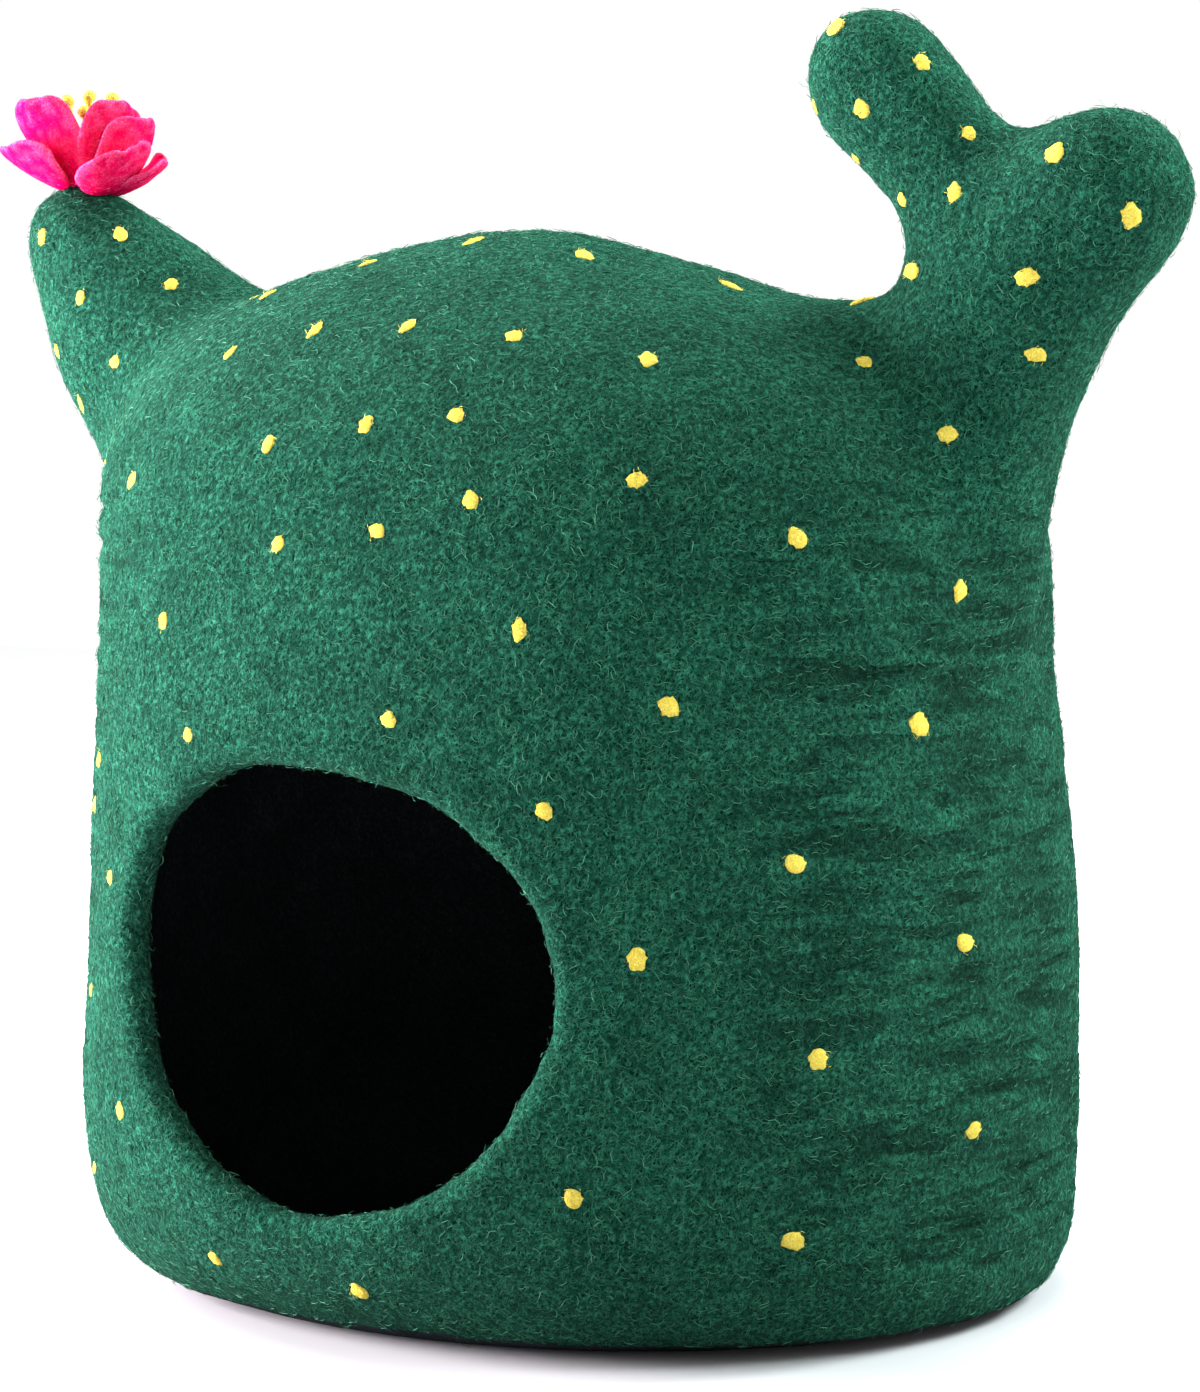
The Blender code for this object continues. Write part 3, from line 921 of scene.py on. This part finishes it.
def fibreTree():
    tree, given = geometryTree("woolFibres", (
        ("Density", "Float", 70000.0), ("Shortest", "Float", 0.6), ("Longest", "Float", 1.3),
        ("Flattest", "Float", -0.05), ("Steepest", "Float", 0.22), ("Seed", "Int", 1),
        ("Clear", "Float", 0.0047), ("Forms", "Collection", None), ("Dots", "Object", None),
        ("Material", "Material", None)))
    scatter = addNode(tree, "GeometryNodeDistributePointsOnFaces", {
        "Mesh": given["Geometry"], "Seed": given["Seed"],
        "Density": maths(tree, "MULTIPLY", given["Density"], storedValue(tree, "wool"))},
        distribute_method="RANDOM")
    spots = addNode(tree, "GeometryNodeObjectInfo", {"Object": given["Dots"]})
    near = addNode(tree, "GeometryNodeProximity", {0: spots.outputs["Geometry"]}, target_element="POINTS")
    covered = addNode(tree, "FunctionNodeCompare", {"A": near.outputs["Distance"], "B": given["Clear"]},
                      data_type="FLOAT", operation="LESS_THAN")
    cleared = addNode(tree, "GeometryNodeDeleteGeometry", {
        "Geometry": scatter.outputs["Points"], "Selection": covered.outputs[0]}, domain="POINT")
    tinted = addNode(tree, "GeometryNodeStoreNamedAttribute", {
        "Geometry": cleared.outputs[0], "Name": "tint", "Value": randomValue(tree, 0.0, 1.0, 11)},
        data_type="FLOAT", domain="POINT")
    steep = maths(tree, "POWER", randomValue(tree, 0.0, 1.0, 12), 4.0)
    span = maths(tree, "SUBTRACT", given["Steepest"], given["Flattest"])
    tilt = maths(tree, "MULTIPLY_ADD", steep, span, given["Flattest"])
    # on the sides the fibres lie more level
    freedom = maths(tree, "MULTIPLY_ADD", storedValue(tree, "side"), -0.75, 1.0)
    halfTurn = maths(tree, "MULTIPLY", maths(tree, "ROUND", randomValue(tree, 0.0, 1.0, 15)), math.pi)
    swing = maths(tree, "MULTIPLY", randomValue(tree, -math.pi / 2, math.pi / 2, 13), freedom)
    angles = addNode(tree, "ShaderNodeCombineXYZ", {
        "Y": maths(tree, "MULTIPLY", tilt, -1.0), "Z": maths(tree, "ADD", swing, halfTurn)})
    turn = addNode(tree, "FunctionNodeEulerToRotation", {0: angles.outputs[0]})
    turned = addNode(tree, "FunctionNodeRotateRotation", {
        0: standOn(tree, scatter.outputs["Normal"]), 1: turn.outputs[0]}, rotation_space="LOCAL")
    scale = randomValue(tree, given["Shortest"], given["Longest"], 14)
    finishGrowth(tree, given, tinted.outputs[0], turned.outputs[0], scale)
    return tree


# Grows a new piece on a surface, which goes.
def grow(surface, tree, name, slot, **values):
    modifier = surface.modifiers.new("grown", "NODES")
    modifier.node_group = tree
    for item in tree.interface.items_tree:
        if item.item_type == "SOCKET" and item.in_out == "INPUT" and item.name in values:
            modifier[item.identifier] = values[item.name]
    made = placeMesh(name, settle(surface, name))
    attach(made, "root")
    say(f"{name}, {len(made.data.polygons)} faces")
    return made


def facesOf(made, name, wanted):
    bm = bmesh.new()
    bm.from_mesh(made.data)
    bmesh.ops.delete(bm, geom=[f for f in bm.faces if not wanted(f)], context="FACES")
    return placeMesh(name, meshFrom(bm, name))


# Dots of yellow wool.
dots = {
    # the ones in the picture: middle, width and height in pixels
    "seen": (
        (42, 237, 11, 20), (121, 234, 17, 17), (80, 298, 13, 18), (171, 284, 17, 14),
        (57, 351, 8, 17), (115, 362, 14, 15), (81, 404, 9, 18), (132, 480, 12, 21),
        (163, 621, 12, 21), (188, 735, 13, 16), (99, 760, 8, 18), (91, 805, 5, 18),
        (110, 877, 9, 18), (86, 993, 6, 16), (120, 1111, 12, 18), (95, 1166, 6, 18),
        (215, 1259, 15, 17), (360, 1292, 21, 17), (573, 1199, 22, 23), (637, 959, 23, 24),
        (544, 811, 19, 21), (389, 720, 18, 18), (519, 630, 18, 23), (278, 544, 14, 21),
        (377, 531, 18, 18), (471, 500, 19, 20), (268, 444, 17, 21), (366, 424, 18, 19),
        (456, 415, 19, 18), (230, 353, 16, 16), (315, 330, 18, 17), (408, 326, 18, 18),
        (514, 336, 20, 15), (264, 290, 19, 12), (365, 258, 18, 11), (474, 241, 18, 12),
        (584, 255, 20, 16), (731, 286, 19, 15), (648, 359, 22, 16), (637, 480, 21, 20),
        (669, 707, 22, 24), (798, 538, 22, 22), (795, 864, 25, 22), (818, 1059, 23, 22),
        (793, 1241, 25, 22), (920, 725, 22, 25), (960, 591, 18, 21), (948, 434, 21, 21),
        (864, 362, 19, 15), (866, 296, 16, 16), (965, 943, 22, 21), (973, 1132, 20, 21),
        (911, 271, 16, 20), (902, 200, 10, 16), (954, 192, 17, 20), (856, 159, 10, 14),
        (815, 107, 9, 18), (862, 109, 18, 20), (835, 27, 20, 20), (922, 62, 20, 18),
        (969, 133, 16, 18), (1055, 153, 21, 22), (1131, 216, 25, 24), (1027, 277, 23, 22),
        (1036, 355, 24, 17),
    ),
    "smallest": 0.0055, "largest": 0.0073,
    "proud": 0.24, "skirt": 0.16,             # height over and depth under the felt, in radii
    "kinds": 8, "sides": 20,
    "ragged": (-0.06, -0.03, 0.0, 0.04, 0.09, 0.20),
    # radius and height of each ring, as shares; below zero it is the skirt's
    "rings": ((0.38, 0.93), (0.70, 0.70), (0.90, 0.36), (1.00, 0.04), (1.02, -1.0)),
    "fuzz": 3.0,                              # pixels that its fibres add to a dot
    "thinnest": 0.0024, "widest": 0.0060,     # half sizes of the ones in the picture
    "bodySpacing": 0.047, "armSpacing": 0.029, "armsFrom": 0.33, "armsBeyond": 0.14,
    "lowest": 0.018, "offEntrance": 0.02,     # none is thrown lower or nearer to the entrance
    "seenDepth": 0.016,                       # felt this far behind the picture's outline counts as seen
    "throws": 6000, "seed": 41,
}


# A low dome with a ragged edge, one unit in radius, closed below the felt.
def dotForms():
    forms = bpy.data.collections.new("dotForms")
    rng = random.Random(dots["seed"])
    count = dots["sides"]
    for kind in range(dots["kinds"]):
        phase = rng.uniform(0, math.tau)
        edge = [1 + 0.10 * math.sin(2 * math.tau * i / count + phase) + rng.choice(dots["ragged"])
                for i in range(count)]
        bm = bmesh.new()
        top = bm.verts.new((rng.uniform(-0.1, 0.1), rng.uniform(-0.1, 0.1), dots["proud"]))
        before = None
        for share, height in dots["rings"]:
            ring = []
            for i in range(count):
                reach = share * (1 + (edge[i] - 1) * share ** 2)
                turn = math.tau * (i + 0.3 * math.sin(kind + share * 5)) / count
                z = dots["proud"] * height * rng.uniform(0.86, 1.1) if height > 0 else -dots["skirt"]
                ring.append(bm.verts.new((reach * math.cos(turn), reach * math.sin(turn), z)))
            for i in range(count):
                j = (i + 1) % count
                if before is None:
                    bm.faces.new((ring[i], ring[j], top))
                else:
                    bm.faces.new((ring[i], ring[j], before[j], before[i]))
            before = ring
        bm.faces.new(list(reversed(before)))
        for f in bm.faces:
            f.smooth = True
        forms.objects.link(bpy.data.objects.new(f"dot_{kind}", meshFrom(bm, f"dot_{kind}")))
    return forms


def seenByCamera(felt, point):
    start = cameraSpot()
    way = point - start
    hit, _, _, _ = felt.ray_cast(start, way.normalized())
    return hit is not None and (hit - point).length < dots["seenDepth"]


# Half sizes of a dot across and up the felt that show as this width and height in the picture.
def dotHalves(point, normal, width, height):
    right, up, back = cameraAxes()
    across = Vector((0, 0, 1)).cross(normal).normalized()
    upwards = normal.cross(across)
    pixel = (cameraSpot() - point).dot(back) * shot["pixel"] / shot["distance"]
    wanted = [((pixels - dots["fuzz"]) * pixel / 2) ** 2 for pixels in (width, height)]
    shown = [[across.dot(axis) ** 2, upwards.dot(axis) ** 2] for axis in (right, up)]
    squares = np.linalg.lstsq(np.array(shown), np.array(wanted), rcond=0.05)[0]
    return [min(max(math.sqrt(max(square, 0.0)), dots["thinnest"]), dots["widest"]) for square in squares]


# Where the dots go: the picture's own, then evenly thrown ones on the sides that it doesn't show.
def dotPlaces(made, felt):
    rng = random.Random(dots["seed"])
    places = []
    for x, y, width, height in dots["seen"]:
        point, normal = pixelOnFelt(felt, x, y)
        if point is not None:
            across, upwards = dotHalves(point, normal, width, height)
            places.append((point, normal, (across, upwards, (across + upwards) / 2)))
    faces = [f for f in made.data.polygons if f.material_index == 0]
    totals = np.cumsum([f.area for f in faces])
    points = made.data.vertices
    for _ in range(dots["throws"]):
        f = faces[int(np.searchsorted(totals, rng.random() * totals[-1]))]
        corners = [points[i].co for i in f.vertices]
        share = rng.random()
        spot = f.center.lerp(corners[rng.randrange(len(corners))], share)
        normal = f.normal.copy()
        onArm = spot.z > dots["armsFrom"] and abs(spot.x) > dots["armsBeyond"]
        spacing = dots["armSpacing"] if onArm else dots["bodySpacing"]
        byEntrance = entranceGap(spot.x, spot.z) < dots["offEntrance"] and spot.y < 0
        if spot.z < dots["lowest"] or normal.z < -0.6 or byEntrance:
            continue
        if any((spot - place[0]).length < spacing for place in places) or seenByCamera(felt, spot):
            continue
        half = rng.uniform(dots["smallest"], dots["largest"]) / 2
        places.append((spot, normal, (half, half * rng.uniform(0.9, 1.1), half)))
    return places


def dotPoints(places):
    mesh = bpy.data.meshes.new("dotPlaces")
    mesh.from_pydata([place[0] for place in places], [], [])
    for name, column in (("aim", 1), ("size", 2)):
        mesh.attributes.new(name, "FLOAT_VECTOR", "POINT").data.foreach_set(
            "vector", np.array([place[column] for place in places]).ravel())
    return placeMesh("dotPlaces", mesh)


def dotTree():
    tree, given = geometryTree("woolDots", (("Forms", "Collection", None), ("Material", "Material", None)))
    points = addNode(tree, "GeometryNodeMeshToPoints", {"Mesh": given["Geometry"]})
    rotation = standOn(tree, storedValue(tree, "aim", "FLOAT_VECTOR"))
    finishGrowth(tree, given, points.outputs[0], rotation, storedValue(tree, "size", "FLOAT_VECTOR"))
    return tree


# The flower.
flower = {
    "middle": Vector((-0.2445, 0.0, 0.500)), "turn": 29.0,
    "thickness": 0.0026, "widest": 0.62, "end": 2.5,
    "along": 20, "across": 14,
    "wave": 0.0009, "waves": 2.6,
    "press": 0.0006,
    "areaShare": 0.80,                      # a petal's felt, as a share of its width by its length
    # name, heading, rise at the root and tip, radius and width at the root, length, width, roll, cup
    "petals": (
        ("petal_outer_1", 203, 20, 46, 0.0100, 0.0135, 0.0332, 0.0420, 8, 0.30),
        ("petal_outer_2", 300, 10, 50, 0.0095, 0.0130, 0.0370, 0.0390, 24, 0.30),
        ("petal_outer_3", 354, 10, 52, 0.0100, 0.0130, 0.0298, 0.0360, 18, 0.26),
        ("petal_outer_4", 50, 10, 40, 0.0105, 0.0095, 0.0290, 0.0280, 0, 0.25),
        ("petal_outer_5", 130, 10, 44, 0.0105, 0.0095, 0.0310, 0.0280, 0, 0.25),
        ("petal_inner_1", 220, 42, 74, 0.0062, 0.0080, 0.0455, 0.0380, 14, 0.28),
        ("petal_inner_2", 306, 48, 84, 0.0060, 0.0080, 0.0440, 0.0320, 12, 0.28),
        ("petal_inner_3", 333, 36, 76, 0.0075, 0.0095, 0.0400, 0.0420, 0, 0.30),
        ("petal_inner_4", 62, 46, 78, 0.0058, 0.0065, 0.0420, 0.0300, 12, 0.26),
        ("petal_inner_5", 142, 40, 74, 0.0065, 0.0065, 0.0440, 0.0300, 14, 0.26),
    ),
    # name, heading, radius at the root, height, lean
    "stamens": (
        ("stamen_1", 180, 0.0019, 0.0395, 12),
        ("stamen_2", 90, 0.0019, 0.0415, 4),
        ("stamen_3", 0, 0.0019, 0.0420, 14),
        ("stamen_4", 270, 0.0019, 0.035, 10),
    ),
    "stalk": 0.0013, "head": 0.0027,
}


def petalWidth(share, rootWidth, width):
    if share < flower["widest"]:
        return rootWidth + (width - rootWidth) * math.sin(math.pi / 2 * share / flower["widest"])
    left = max(1 - ((share - flower["widest"]) / (1.012 - flower["widest"])) ** flower["end"], 0.0)
    return width * left ** (1 / flower["end"])


# The middle of a petal's felt as rows of points, and the way that its inner face looks.
def petalRows(row, number):
    _, heading, rootRise, tipRise, rootRadius, rootWidth, length, width, roll, cup = row
    turn = math.radians(heading + flower["turn"])
    outward = Vector((math.cos(turn), math.sin(turn), 0))
    sideways = Vector((-math.sin(turn), math.cos(turn), 0))
    place = outward * rootRadius
    rows = []
    for i in range(flower["along"] + 1):
        share = i / flower["along"]
        rise = math.radians(rootRise + (tipRise - rootRise) * share)
        forward = outward * math.cos(rise) + Vector((0, 0, math.sin(rise)))
        if i:
            place = place + forward * length / flower["along"]
        inner = forward.cross(sideways)
        edge = Matrix.Rotation(math.radians(roll) * share, 3, forward) @ sideways
        half = petalWidth(share, rootWidth, width) / 2
        line = []
        for j in range(flower["across"] + 1):
            t = 2 * j / flower["across"] - 1
            rim = max(abs(t) ** 3, max(share - 0.7, 0.0) / 0.3)
            wave = math.sin(flower["waves"] * math.pi * (share * 1.3 + t * 0.9) + 1.7 * number)
            lift = inner * (half * cup * t * t + flower["wave"] * rim * wave * min(1.0, share * 2))
            line.append(place + edge * half * t + lift)
        rows.append(line)
    return rows


# Felt of full thickness in the middle that thins to a round rim.
def petalMesh(row, number):
    rows = petalRows(row, number)
    along, across = flower["along"], flower["across"]
    bm = bmesh.new()
    frost = bm.verts.layers.float.new("frost")
    layers = {1: {}, -1: {}}
    for i in range(along + 1):
        for j in range(across + 1):
            share, t = i / along, 2 * j / across - 1
            a = rows[min(i + 1, along)][j] - rows[max(i - 1, 0)][j]
            b = rows[i][min(j + 1, across)] - rows[i][max(j - 1, 0)]
            normal = a.cross(b).normalized()
            edge = max(abs(t), (share - 0.86) / 0.14, (0.07 - share) / 0.07)
            half = flower["thickness"] / 2 * math.sqrt(max(1 - edge ** 5, 0.0)) if edge > 0 else 0.0013
            grain = float(smoothStep(-0.2, 0.45, noise.noise(rows[i][j] * 230 + Vector((number, 0, 0)))))
            border = i in (0, along) or j in (0, across)
            for side in (1, -1):
                if border and side == -1:
                    layers[-1][i, j] = layers[1][i, j]
                    continue
                v = bm.verts.new(rows[i][j] + normal * half * side)
                worn = 0.02 + 0.06 * grain if side == 1 else (0.03 + 0.48 * share) * (0.05 + 1.05 * grain)
                v[frost] = min(1.0, max(worn, 0.95 * smoothStep(0.74, 0.97, edge) * min(1.0, share * 3)))
                layers[side][i, j] = v
    for i in range(along):
        for j in range(across):
            for side in (1, -1):
                at = layers[side]
                corners = (at[i, j], at[i, j + 1], at[i + 1, j + 1], at[i + 1, j])
                bm.faces.new(corners if side == -1 else corners[::-1])
    bmesh.ops.recalc_face_normals(bm, faces=bm.faces)
    for f in bm.faces:
        f.smooth = True
    form = placeMesh("petal", meshFrom(bm, row[0]))
    soft = form.modifiers.new("soft", "SUBSURF")
    soft.levels = soft.render_levels = 1
    return settle(form, row[0])


# Lowers a piece of the flower until it just presses into the felt.
def seatOn(mesh, felt):
    mesh.transform(Matrix.Translation(flower["middle"]))
    drops = []
    for vertex in mesh.vertices:
        _, _, _, depth = felt.ray_cast(vertex.co, Vector((0, 0, -1)))
        if depth is not None:
            drops.append(depth)
    mesh.transform(Matrix.Translation((0, 0, -min(drops) - flower["press"])))


# A twisted strand of felt with a lumpy head.
def stamenMesh(row):
    name, heading, rootRadius, height, lean = row
    turn, tilt = math.radians(heading + flower["turn"]), math.radians(lean)
    outward = Vector((math.cos(turn), math.sin(turn), 0))
    upwards = outward * math.sin(tilt) + Vector((0, 0, math.cos(tilt)))
    across = upwards.orthogonal().normalized()
    other = upwards.cross(across)
    rows, sides = 26, 12
    bm = bmesh.new()
    before = bottom = bm.verts.new(outward * rootRadius)
    for i in range(rows + 1):
        share = i / rows
        up = height * share
        fromHead = (up - (height - flower["head"])) / flower["head"]
        head = 0.0
        if abs(fromHead) < 1:
            head = flower["head"] * math.sqrt(max(1 - min(fromHead, 0.97) ** 2, 0.0))
        radius = max(flower["stalk"] * (1.15 - 0.25 * share), head)
        sway = 0.0008 * math.sin(math.pi * share * 1.5 + heading)
        middle = outward * rootRadius + upwards * up + across * sway
        ring = []
        for k in range(sides):
            a = math.tau * k / sides
            twist = 1 + 0.10 * math.sin(3 * a + 26 * share + heading)
            way = across * math.cos(a) + other * math.sin(a)
            lump = 1 + 0.30 * noise.noise((middle + way * radius) * 420)
            ring.append(bm.verts.new(middle + way * radius * twist * lump))
        for k in range(sides):
            j = (k + 1) % sides
            if i == 0:
                bm.faces.new((ring[j], ring[k], bottom))
            else:
                bm.faces.new((before[k], before[j], ring[j], ring[k]))
        before = ring
    bm.faces.new(before)
    bmesh.ops.recalc_face_normals(bm, faces=bm.faces)
    for f in bm.faces:
        f.smooth = True
    return meshFrom(bm, name)


def addFlower(felt, pink, yellow):
    petals = [(row[0], petalMesh(row, number)) for number, row in enumerate(flower["petals"])]
    stamens = [(row[0], stamenMesh(row)) for row in flower["stamens"]]
    pieces = []
    for rows, material, slot in ((petals, pink, "pink_felt"), (stamens, yellow, "yellow_felt")):
        for node, mesh in rows:
            seatOn(mesh, felt)
            made = placeMesh(node + "_felt", mesh, material)
            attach(made, "root")
            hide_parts(node)
            pieces.append(made)
    say(f"flower, {len(pieces)} pieces")
    return pieces[:len(petals)], pieces[len(petals):]


# Several pieces' faces in one mesh, to grow fibres on.
def together(pieces, name):
    bm = bmesh.new()
    for piece in pieces:
        bm.from_mesh(piece.data)
    made = placeMesh(name, meshFrom(bm, name))
    storeFloat(made.data, "wool", np.ones(len(made.data.vertices)))
    return made


# The studio. The floor's colour is darker round the cave: painted shade, for its shadow.
studio = {
    "floorSize": 6.0, "floorNear": (0.40, 0.40, 0.41), "floorFar": (0.93, 0.93, 0.94),
    "floorChange": (0.35, 0.75), "floorRoughness": 0.6,
    "sky": (1.0, 1.0, 1.0), "skyStrength": 1.0,
    "target": Vector((0.0, 0.0, 0.24)),
    # name, place, size, power, tint
    "lamps": (
        ("key", (-1.3, -0.6, 0.35), 0.8, 166.0, (1.0, 0.91, 0.97)),
        ("left", (-2.2, 0.6, 1.2), 1.2, 165.0, (1.0, 0.91, 0.97)),
        ("top", (0.0, 0.3, 1.2), 0.6, 25.0, (1.0, 0.94, 0.96)),
        ("right", (1.1, 0.1, 1.0), 0.6, 13.0, (0.88, 0.99, 0.99)),
        ("front", (0.6, -0.4, 1.3), 0.6, 4.0, (0.88, 0.99, 0.99)),
        ("back", (1.0, 1.0, 1.0), 0.6, 58.0, (0.88, 0.99, 0.99)),
    ),
}


def addStudio():
    bm = bmesh.new()
    bmesh.ops.create_grid(bm, x_segments=2, y_segments=2, size=studio["floorSize"] / 2)
    pale, shader = newMaterial("pale_floor", studio["floorNear"], roughness=studio["floorRoughness"])
    tree = pale.node_tree
    place = addNode(tree, "ShaderNodeTexCoord").outputs["Object"]
    away = addNode(tree, "ShaderNodeVectorMath", {0: place}, operation="LENGTH").outputs["Value"]
    # painted shade: the floor is darker near the cave
    share = mapRange(tree, away, *studio["floorChange"])
    colour = mixColour(tree, share, studio["floorNear"], studio["floorFar"])
    tree.links.new(colour, shader.inputs["Base Color"])
    placeMesh("floor", meshFrom(bm, "floor"), pale)
    for name, place, size, power, tint in studio["lamps"]:
        lamp = bpy.data.lights.new(name, "AREA")
        lamp.shape, lamp.size, lamp.energy, lamp.color = "DISK", size, power, tint
        made = bpy.data.objects.new(name, lamp)
        everything.objects.link(made)
        made.location = place
        made.rotation_mode = "QUATERNION"
        made.rotation_quaternion = (studio["target"] - Vector(place)).to_track_quat("-Z", "Y")
    world = bpy.data.worlds.new("studio")
    bpy.context.scene.world = world
    world.use_nodes = True
    sky = world.node_tree.nodes["Background"].inputs
    sky["Color"].default_value = (*studio["sky"], 1.0)
    sky["Strength"].default_value = studio["skyStrength"]
    bpy.context.scene.view_settings.view_transform = "Standard"


# Everything is built here, from the felt to the studio.
addCamera()
strands = woolGroup()
green = feltGreen(strands)
pink = feltPink(strands)
yellow = feltMaterial("yellow_wool", strands, yellowWool, size=0.35, patchGain=0.1)
greenStrand = strandMaterial("green_fibres", greenWool["strandDark"], greenWool["strandLight"])
pinkStrand = strandMaterial("pink_fibres", pinkWool["middle"], pinkWool["frost"])
yellowStrand = strandMaterial("yellow_fibres", yellowWool["dark"], yellowWool["light"])
# near-black wool for the inside, also used as painted shade on the underside
inside = feltMaterial("dark_inside_and_underside_shade", strands, insideWool, roughness=1.0)
shell = feltShell((green, inside))
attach(shell, "root")
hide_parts("felt_shell")
say(f"felt shell, {len(shell.data.polygons)} faces")

shellTree = searchTree(shell)
places = dotPlaces(shell, shellTree)
say(f"{len(places)} dots")
markers = dotPoints(places)
domes = dotForms()
dotPiece = grow(dotPoints(places), dotTree(), "wool_dots", "yellow_felt", Forms=domes, Material=yellow)

fibres = fibreTree()
short, stray = shortFibres(), strayFibres()
greenWay = {"Forms": short, "Dots": markers, "Material": greenStrand}
for number, (signX, signY) in enumerate(((-1, -1), (1, -1), (-1, 1), (1, 1)), 1):
    def inQuarter(f, signX=signX, signY=signY):
        middle = f.calc_center_median()
        low = middle.z < 0.004 and f.normal.z < -0.7
        return f.material_index == 0 and not low and middle.x * signX >= 0 and middle.y * signY >= 0
    skin = facesOf(shell, f"skin_{number}", inQuarter)
    grow(skin, fibres, f"wool_fuzz_{number}", "green_felt",
                           Density=76000.0, Seed=10 + number, **greenWay)
skin = facesOf(shell, "strayGround", lambda f: f.material_index == 0 and f.calc_center_median().z > 0.004)
grow(skin, fibres, "wool_strays", "green_felt", Density=700.0, Seed=20, Shortest=0.4,
                       Longest=1.1, Steepest=0.12, **{**greenWay, "Forms": stray})


def onLip(f):
    middle = f.calc_center_median()
    return f.material_index == 0 and middle.y < -0.1 and -0.02 < entranceGap(middle.x, middle.z) < 0.004


grow(facesOf(shell, "lipSkin", onLip), fibres, "lip_fuzz", "green_felt", Density=300000.0,
                       Seed=30, Shortest=0.15, Longest=0.42, Steepest=0.9, **greenWay)

petals, stamens = addFlower(shellTree, pink, yellow)
grow(together(petals, "petalSkin"), fibres, "petal_fuzz", "pink_felt", Density=230000.0, Seed=40,
     Shortest=0.15, Longest=0.45, Steepest=0.25, Clear=0.0, Forms=short, Dots=markers, Material=pinkStrand)
grow(together([dotPiece] + stamens, "yellowSkin"), fibres, "yellow_fuzz", "yellow_felt", Density=230000.0,
     Seed=50, Shortest=0.18, Longest=0.65, Steepest=0.6, Clear=0.0, Forms=short, Dots=markers,
     Material=yellowStrand)
for used in (markers, *short.objects, *stray.objects, *domes.objects):
    bpy.data.objects.remove(used, do_unlink=True)

addStudio()
